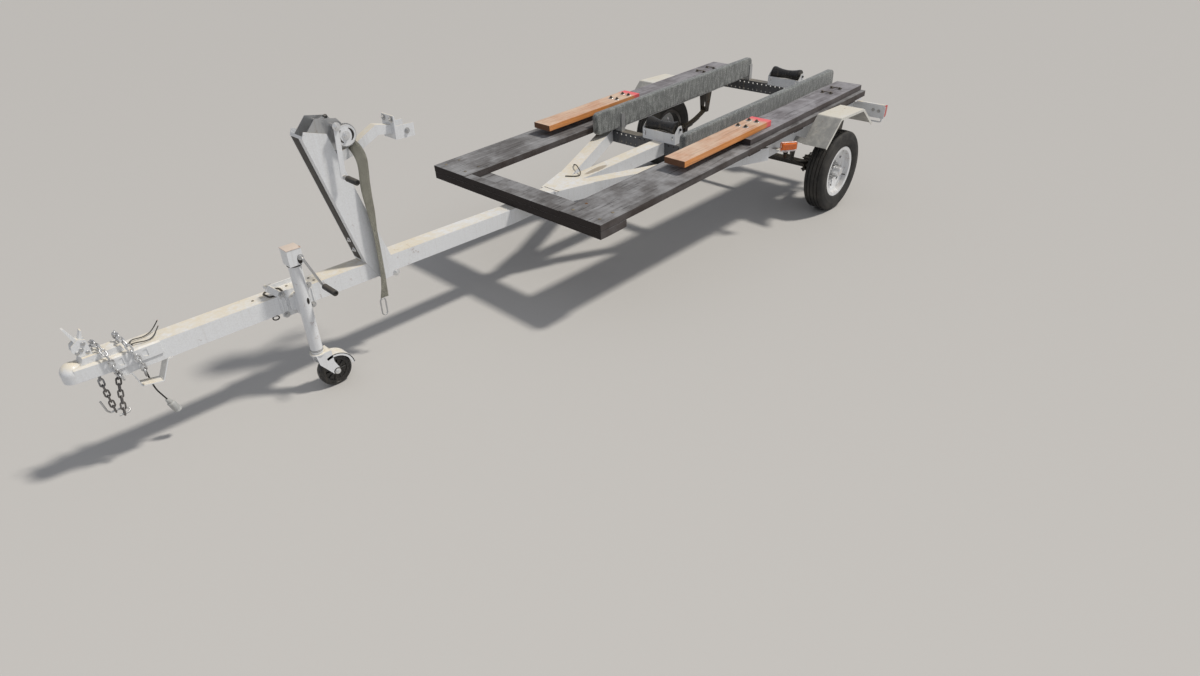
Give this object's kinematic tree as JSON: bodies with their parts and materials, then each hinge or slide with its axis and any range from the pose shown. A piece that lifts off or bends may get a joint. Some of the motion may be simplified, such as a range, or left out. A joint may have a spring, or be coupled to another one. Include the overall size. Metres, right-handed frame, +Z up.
{
  "type": "boat trailer",
  "caption": "Single-axle boat trailer with a timber deck, carpeted bunks, keel rollers, winch post and swivel jack.",
  "frame": {"origin": "on the ground at the middle of the trailer's length and width", "axes": "+X forward to the coupler, +Y to the trailer's left, +Z up"},
  "size_m": [4.95, 1.67, 1.134],
  "materials": {
    "white_paint": "white paint, weathered, dusty",
    "zinc": "zinc plated, dull",
    "dark_steel": "dark grease and paint",
    "tyre": "dusty black",
    "rubber": "black, matt",
    "dark_timber": "dark stained, weathered",
    "grey_timber": "grey weathered",
    "new_timber": "fresh orange stain",
    "carpet": "charcoal marine carpet",
    "webbing": "grey olive webbing",
    "amber_lens": "amber lens",
    "red_lens": "red lens",
    "grey_plastic": "light grey",
    "black_plastic": "black grips and wires"
  },
  "bodies": {
    "frame": {"axle": "dark_steel", "axle_clamps": "dark_steel", "bow_stop": "white_paint", "bunk_brackets": "zinc", "bunks": "carpet", "centre_beam": "white_paint", "chain_hook": "zinc", "coupler": "white_paint", "coupler_latch": "white_paint", "cross_plank": "dark_timber", "crossmembers": "dark_steel", "fenders": "white_paint", "grey_boards": "grey_timber", "harness_wire_a": "black_plastic", "harness_wire_b": "black_plastic", "jack_mount": "zinc", "keel_brackets": "white_paint", "lamp_brackets": "white_paint", "leaf_springs": "dark_steel", "marker_lamps": "amber_lens", "new_boards": "new_timber", "packers": "dark_timber", "plug_wire": "black_plastic", "safety_chains": "zinc", "side_planks": "dark_timber", "side_rails": "white_paint", "spring_hangers": "dark_steel", "strap_hook": "zinc", "tail_lamps": "red_lens", "tongue_tube": "white_paint", "under_bracket": "white_paint", "v_braces": "white_paint", "winch_crank": "white_paint", "winch_drum": "webbing", "winch_frame": "zinc", "winch_grip": "black_plastic", "winch_post": "white_paint", "winch_strap": "webbing", "wiring_plug": "grey_plastic"},
    "wheel_left": {"tyre_left": "tyre", "wheel_rim_left": "white_paint"},
    "wheel_right": {"tyre_right": "tyre", "wheel_rim_right": "white_paint"},
    "keel_roller_front": {"keel_roller_front": "rubber"},
    "keel_roller_rear": {"keel_roller_rear": "rubber"},
    "jack": {"jack_body": "white_paint", "jack_crank": "zinc", "jack_grip": "black_plastic"},
    "jack_fork": {"caster_fork": "white_paint"},
    "jack_wheel": {"caster_wheel": "rubber"}
  },
  "joints": [
    {"name": "wheel_left_spin", "type": "hinge", "parent": "frame", "child": "wheel_left", "pos_m": [-1.86497, 0.738, 0.27], "axis": [0, 1, 0], "continuous": true},
    {"name": "wheel_right_spin", "type": "hinge", "parent": "frame", "child": "wheel_right", "pos_m": [-1.86497, -0.738, 0.27], "axis": [0, 1, 0], "continuous": true},
    {"name": "keel_roller_front_spin", "type": "hinge", "parent": "frame", "child": "keel_roller_front", "pos_m": [-0.91629, 0, 0.62924], "axis": [0, 1, 0], "continuous": true},
    {"name": "keel_roller_rear_spin", "type": "hinge", "parent": "frame", "child": "keel_roller_rear", "pos_m": [-2.42805, 0, 0.71164], "axis": [0, 1, 0], "continuous": true},
    {"name": "jack_swivel", "type": "hinge", "parent": "frame", "child": "jack", "pos_m": [1.62503, 0.112, 0.43], "axis": [0, 1, 0], "range_deg": [0, 90]},
    {"name": "jack_fork_swivel", "type": "hinge", "parent": "jack", "child": "jack_fork", "pos_m": [1.62503, 0.112, 0.19], "axis": [0, 0, 1], "continuous": true},
    {"name": "jack_wheel_spin", "type": "hinge", "parent": "jack_fork", "child": "jack_wheel", "pos_m": [1.57003, 0.112, 0.076], "axis": [0, 1, 0], "continuous": true}
  ]
}
